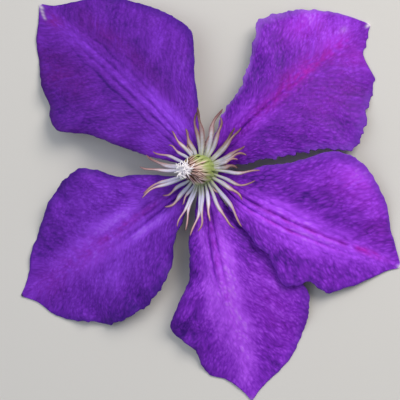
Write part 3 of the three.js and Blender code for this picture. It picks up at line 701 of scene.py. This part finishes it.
stamen_widths = [(0, 0), (0.03, 0.7), (0.2, 0.9), (0.4, 1.2), (0.56, 1.2), (0.65, 0.85), (0.7, 0.66),
                 (0.85, 0.66), (0.93, 0.5), (0.97, 0.32), (1, 0)]
stamen_thickness = 0.4
stamen_steps = 28
stamen_sides = 12
ring_sides = 48


def heart_point(radius, azimuth, height):
    """A place in millimetres from its distance and direction from the axis, and its height."""
    return Vector((radius * math.cos(azimuth), radius * math.sin(azimuth), height))


def add_strap(bm, path, azimuth, width, thickness, roll, steps, sides, tone, late=0):
    """A closed flat strand along a path, from a grid rolled up round it. width, thickness and roll
    are functions of the way along. The layers keep the strand's tone and where a point lies, and
    late moves the colours that far towards its tip."""
    layers = bm.verts.layers.float
    across = Vector((-math.sin(azimuth), math.cos(azimuth), 0))
    made = bmesh.ops.create_grid(bm, x_segments=steps, y_segments=sides, size=1)["verts"]
    for vertex in made:
        u = (vertex.co.x + 1) / 2
        angle = math.pi * vertex.co.y
        along = (path(min(u + 0.02, 1)) - path(max(u - 0.02, 0))).normalized()
        side = (across - along * across.dot(along)).normalized()
        side = Matrix.Rotation(roll(u), 3, along) @ side
        half = width(u) / 2
        vertex.co = path(u) + side * math.cos(angle) * half
        vertex.co += along.cross(side) * math.sin(angle) * min(half, thickness(u) / 2)
        vertex[layers["along"]] = max(u - late, 0)
        vertex[layers["beside"]] = abs(math.cos(angle))
        vertex[layers["tone"]] = tone
    bmesh.ops.remove_doubles(bm, verts=made, dist=1e-4)


def strand_bmesh():
    """An empty bmesh with the layers that a strand's colour follows."""
    bm = bmesh.new()
    for key in ("along", "beside", "tone"):
        bm.verts.layers.float.new(key)
    return bm


def strand_skin(name, fresh, old, roughness, edge):
    """Waxy plant tissue. fresh and old are for a strand that has just opened and for one that
    withers: the colours from its root to its tip, first along its middle and then on its edges.
    edge is where the one turns into the other, from 0 in the middle to 1 at the edge."""
    material, tree, shader = new_material(name, roughness)
    marks = {key: add_node(tree, "ShaderNodeAttribute", output="Fac", attribute_name=key)
             for key in ("along", "beside", "tone")}
    place = add_node(tree, "ShaderNodeTexCoord", output="Object")
    flecks = add_node(tree, "ShaderNodeTexNoise", {"Vector": place, "Scale": 1 / (0.8 * mm), "Detail": 3})
    aged = add_node(tree, "ShaderNodeMath", {0: flecks, 1: 0.8, 2: marks["tone"]}, operation="MULTIPLY_ADD")
    aged = add_node(tree, "ShaderNodeMath", {0: aged, 1: 0.4}, operation="SUBTRACT", use_clamp=True)
    sides = []
    for part in (0, 1):
        young = add_node(tree, "ShaderNodeValToRGB", {"Fac": marks["along"]}, fresh[part])
        withered = add_node(tree, "ShaderNodeValToRGB", {"Fac": marks["along"]}, old[part])
        sides.append(add_node(tree, "ShaderNodeMix", {0: aged, 6: young, 7: withered}, data_type="RGBA"))
    rim = add_node(tree, "ShaderNodeMapRange", {
        "Value": marks["beside"], "From Min": edge[0], "From Max": edge[1]})
    colour = add_node(tree, "ShaderNodeMix", {0: rim, 6: sides[0], 7: sides[1]}, data_type="RGBA")
    tree.links.new(colour, shader.inputs["Base Color"])
    bump = add_node(tree, "ShaderNodeBump", {"Height": flecks, "Strength": 0.3, "Distance": 0.08 * mm})
    tree.links.new(bump, shader.inputs["Normal"])
    return material


spread_bm = strand_bmesh()
disc_radius = max(radius for radius, height in stem_profile) + 0.3
collar_inner = disc_radius - 0.6
turn_profile(spread_bm, [(collar_inner, 0), (collar_radius - 0.3, 0), (collar_radius, 0.25),
                         (collar_radius - 0.1, 0.6), (disc_radius + 0.5, 0.85), (collar_inner, 0.85),
                         (collar_inner, 0)], ring_sides)
spread_draws = seeded(11)
looks_draws = seeded(5)
spread_root = (disc_radius + collar_radius) / 2
for direction, tip_reach in spread_stamens:
    azimuth = math.radians(direction)
    climb = drawn(spread_draws, spread_climb)
    bend = drawn(spread_draws, spread_bend)
    curl = drawn(spread_draws, spread_curl)
    roll_end = drawn(looks_draws, roll_range)
    hook = drawn(looks_draws, hook_range)
    wave = drawn(looks_draws, (0, 6))
    breadth = drawn(looks_draws, breadth_range)
    age = usual_age + age_by_side * math.cos(azimuth - withered_side) + drawn(looks_draws, age_range)
    breadth *= 1 + withered_breadth * smooth(age)

    def spread_path(u):
        out = disc_radius - 0.1 + (tip_reach - disc_radius + 0.1) * u
        way = max((out - spread_root) / (tip_reach - spread_root), 0)
        up = collar_height / 2 + (tip_reach - spread_root) * climb * (way ** 0.9 - 0.25 * way ** 3)
        up += 1.7 * (1 - smooth(u / 0.3)) - curl * way ** 5
        turn = bend * math.sin(math.pi * way) + hook * way ** 6 + 0.035 * way * math.sin(9 * way + wave)
        return heart_point(out, azimuth + turn, up)

    add_strap(spread_bm, spread_path, azimuth, lambda u: breadth * curve_at(stamen_widths, u),
              lambda u: stamen_thickness, lambda u: roll_end * u, stamen_steps, stamen_sides, age,
              -withered_browning * smooth(age))
bmesh.ops.recalc_face_normals(spread_bm, faces=spread_bm.faces)
bmesh.ops.translate(spread_bm, vec=(axis_x, axis_y, collar_bottom), verts=spread_bm.verts)
# A filament is waxy tissue without much colour, bluish white where light comes through it. Its
# anther has a pale back and two darker pollen sacs for edges, and turns brown as it withers.
spread_skin = strand_skin(
    "stamen_skin_lilac",
    [{0: "#9cae78", 0.12: "#b6bcac", 0.3: "#d0ccf2", 0.58: "#e8e5fb", 0.66: "#dcc4d2", 0.8: "#d8b6b8",
      1: "#b08488"},
     {0: "#94a668", 0.2: "#a8ac9c", 0.4: "#bcbad8", 0.6: "#c0a0a6", 0.75: "#b4827e", 1: "#8c5856"}],
    [{0: "#94a870", 0.15: "#a4ac90", 0.35: "#b2b2b4", 0.55: "#bab2ae", 0.66: "#ac9292", 0.85: "#8c6868",
      1: "#5c3c40"},
     {0: "#96a470", 0.3: "#aeb08c", 0.45: "#a08c7c", 0.55: "#8c6460", 1: "#5c3838"}],
    0.45, (0.25, 0.75))
spread = add_piece("spread_stamens", spread_bm, [spread_skin])
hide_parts("open_stamens")
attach(spread, "root")


# Upright stamens. They have not opened yet: a barrel of green filaments stands on the disc round
# the styles and closes in on them, with tan-pink anthers that cross each other near the top.
ring_inner = 2
ring_outer = 3.3
ring_height = 1
barrel_count = 19
barrel_height = (8.2, 11.2)
barrel_twist = (-0.45, 0.45)
fresh_side = math.radians(50)
tone_range = (-0.4, 0.3)
barrel_root = 0.4
barrel_profile = [(0, 3), (1.4, 3.7), (3.5, 4.4), (6, 4.4), (8.6, 3.3), (10, 2.3), (11.2, 1.5)]
upright_widths = [(0, 0), (0.03, 1.2), (0.3, 1.65), (0.54, 1.55), (0.66, 1.1), (0.75, 0.8), (0.9, 0.72),
                  (0.97, 0.4), (1, 0)]
inner_count = 30
inner_profile = [(0, 2.3), (3, 3.3), (6, 3.8), (8.6, 2.8), (10, 1.8), (11.6, 1.1)]
inner_height = (9, 11.5)
inner_twist = (-0.8, 0.8)
crossing_stamens = [
    (-62, 10.4, 0.9, 0.5), (-36, 11.2, 0.5, 0.2), (-12, 10.8, -0.5, 0.7), (6, 11.6, 0.2, 0.1),
    (26, 10.6, -0.8, 0.5), (52, 11.2, -0.4, 0.6), (-88, 11, 0.6, 0.9), (-4, 11, -0.1, 0.4),
]
crossing_profile = [(0, 2.6), (3, 3.6), (6, 4.2), (8.6, 3.2), (10, 2.1), (11.6, 1.2)]
heart_lean = -0.17
heart_belly = 0.5
heart_top = 11
ring_bottom = boss_top + 0.3
sunk_in = 0.4


def lean_and_seat(bm):
    """Bends a piece of the heart over towards the left tepals and sets it on the disc."""
    for vertex in bm.verts:
        part = min(vertex.co.z / heart_top, 1)
        vertex.co.x += heart_lean * vertex.co.z * part + heart_belly * math.sin(math.pi * part)
    bmesh.ops.translate(bm, vec=(axis_x, axis_y, ring_bottom), verts=bm.verts)


barrel_bm = strand_bmesh()
turn_profile(barrel_bm, [(ring_inner, -sunk_in), (ring_outer, -sunk_in), (ring_outer, ring_height - 0.2),
                         (ring_outer - 0.2, ring_height), (ring_inner, ring_height),
                         (ring_inner, -sunk_in)], ring_sides)
barrel_draws = seeded(29)
inner_draws = seeded(31)


def add_upright(azimuth, profile, height, twist, tone):
    """A stamen of the barrel. Its green reaches higher on the side where the spread ones wither."""
    def path(u):
        up = barrel_root + (height - barrel_root) * u
        return heart_point(curve_at(profile, up), azimuth + twist * u ** 2, up)

    late = 0.06 + 0.08 * math.cos(azimuth - withered_side)
    add_strap(barrel_bm, path, azimuth, lambda u: curve_at(upright_widths, u), lambda u: stamen_thickness,
              lambda u: 0.4 * math.sin(7 * u + azimuth), stamen_steps, stamen_sides, tone, late)


for n in range(barrel_count):
    azimuth = 2 * math.pi * (n + next(barrel_draws) / 2) / barrel_count
    height = drawn(barrel_draws, barrel_height)
    twist = drawn(barrel_draws, barrel_twist)
    tone = 0.4 - 0.35 * math.cos(azimuth - fresh_side) + drawn(inner_draws, tone_range)
    add_upright(azimuth, barrel_profile, height, twist, tone)
for n in range(inner_count):
    azimuth = 2 * math.pi * (n + next(inner_draws) / 2) / inner_count
    height = drawn(inner_draws, inner_height)
    twist = drawn(inner_draws, inner_twist)
    tone = 0.35 - 0.3 * math.cos(azimuth - fresh_side) + drawn(inner_draws, tone_range)
    add_upright(azimuth, inner_profile, height, twist, tone)
for direction, height, twist, tone in crossing_stamens:
    add_upright(math.radians(direction), crossing_profile, height, twist, tone)
bmesh.ops.recalc_face_normals(barrel_bm, faces=barrel_bm.faces)
lean_and_seat(barrel_bm)
# A young filament is still full of leaf green and a little glossy, and its anther is cream and
# pink, with darker edges. The withered anthers, most of them on the side away from the light, have
# pale middles and near-black edges that draw fine lines between one and the next: partly their own
# colour, partly a painted highlight on the middles and painted shade between the anthers.
barrel_skin = strand_skin(
    "stamen_skin_green",
    [{0: "#98b05c", 0.5: "#a6b868", 0.64: "#c0c894", 0.72: "#decfbc", 0.82: "#dcc0b8", 1: "#ccaaa6"},
     {0: "#8aa450", 0.55: "#90a654", 0.66: "#aca478", 0.76: "#8c5c54", 1: "#74443f"}],
    [{0: "#84a04c", 0.45: "#98ac60", 0.58: "#c8c0a0", 0.66: "#e8cec4", 0.82: "#e6c8c2", 1: "#b48e8a"},
     {0: "#6c8c38", 0.45: "#7c8c48", 0.58: "#7c6a48", 0.68: "#4a2c2a", 1: "#30201c"}],
    0.45, (0.4, 0.85))
barrel = add_piece("upright_stamens", barrel_bm, [barrel_skin])
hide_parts("inner_stamens")
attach(barrel, "root")


# Styles. A column of fine cream styles stands in the barrel. Their silky white ends are packed in
# a dense head above it, and curl over in a loose tuft.
core_radius = 1.7
core_height = 4
column_top = 11.2
column_top_radius = 1.2
head_profile = [(1.3, 12.3), (1.25, 13), (0.9, 13.7), (0.4, 14), (0, 14.1)]
style_count = 22
style_width = 0.4
style_thickness = 0.35
tuft_count = 18
tuft_step = 2.4
tuft_reach = (0.8, 3)
tuft_height = (2.8, 6.2)
tuft_hook = (0.4, 1.8)
tuft_turn = (-0.25, 0.25)
tuft_root_radius = 0.5
tuft_root_depth = 1
strands_per_curl = 7
strand_width = 0.36
strand_thickness = 0.3
strand_fan = (-0.5, 0.5)
strand_length = (0.55, 1)
strand_reach = (0.3, 1.15)
strand_coil = (-0.6, 0.6)

style_bm = strand_bmesh()
turn_profile(style_bm, [(0, -sunk_in), (core_radius, -sunk_in), (core_radius - 0.1, core_height),
                        (column_top_radius - 0.1, column_top), *head_profile], 24)
for n in range(style_count):
    azimuth = 2 * math.pi * n / style_count

    def style_path(u):
        radius = core_radius + (column_top_radius - core_radius) * u
        return heart_point(radius - 0.1, azimuth + 0.3 * u, 0.3 + column_top * u)

    add_strap(style_bm, style_path, azimuth, lambda u: style_width * math.sin(math.pi * u) ** 0.3,
              lambda u: style_thickness, lambda u: 0, 12, 8, 0.5)
tuft_draws = seeded(61)
strand_draws = seeded(17)
for n in range(tuft_count):
    azimuth = n * tuft_step
    reach = drawn(tuft_draws, tuft_reach)
    rise = drawn(tuft_draws, tuft_height) + tuft_root_depth
    hook = drawn(tuft_draws, tuft_hook)
    turn = drawn(tuft_draws, tuft_turn)
    for strand in range(strands_per_curl):
        fan = drawn(strand_draws, strand_fan)
        short = drawn(strand_draws, strand_length)
        narrow = drawn(strand_draws, strand_reach)
        coil = drawn(strand_draws, strand_coil)

        def strand_path(u):
            out = tuft_root_radius + reach * narrow * u ** 1.6
            climbed = math.sin(math.pi / 2 * min(1.2 * u, 1))
            up = column_top - tuft_root_depth + rise * short * climbed - hook * u ** 4
            return heart_point(out, azimuth + (turn + fan) * u + coil * u ** 3, up)

        add_strap(style_bm, strand_path, azimuth, lambda u: strand_width * (1 - u ** 6) ** 0.5,
                  lambda u: strand_thickness, lambda u: 0, 16, 6, 0.2)
for vertex in style_bm.verts:
    vertex[style_bm.verts.layers.float["along"]] = smooth((vertex.co.z - column_top + 3) / 4)
bmesh.ops.recalc_face_normals(style_bm, faces=style_bm.faces)
lean_and_seat(style_bm)
# The styles end in silk: bundles of fine hairs that scatter the light and look white.
silk_colours = {0: "#c0bc98", 0.3: "#dcd6bc", 0.7: "#efedee", 1: "#fbfaff"}
shaded_silk = {0: "#a8a880", 0.3: "#c8c09c", 0.7: "#dcd8de", 1: "#e8e6f2"}
style_skin = strand_skin("style_silk", [silk_colours, silk_colours], [shaded_silk, silk_colours], 0.5,
                         (0.25, 0.75))
styles = add_piece("styles_and_tuft", style_bm, [style_skin])
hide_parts("pistils")
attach(styles, "root")


boxes = {"cad": cad_box, "visual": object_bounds()}
{key: [list(corner) for corner in box] for key, box in boxes.items()}
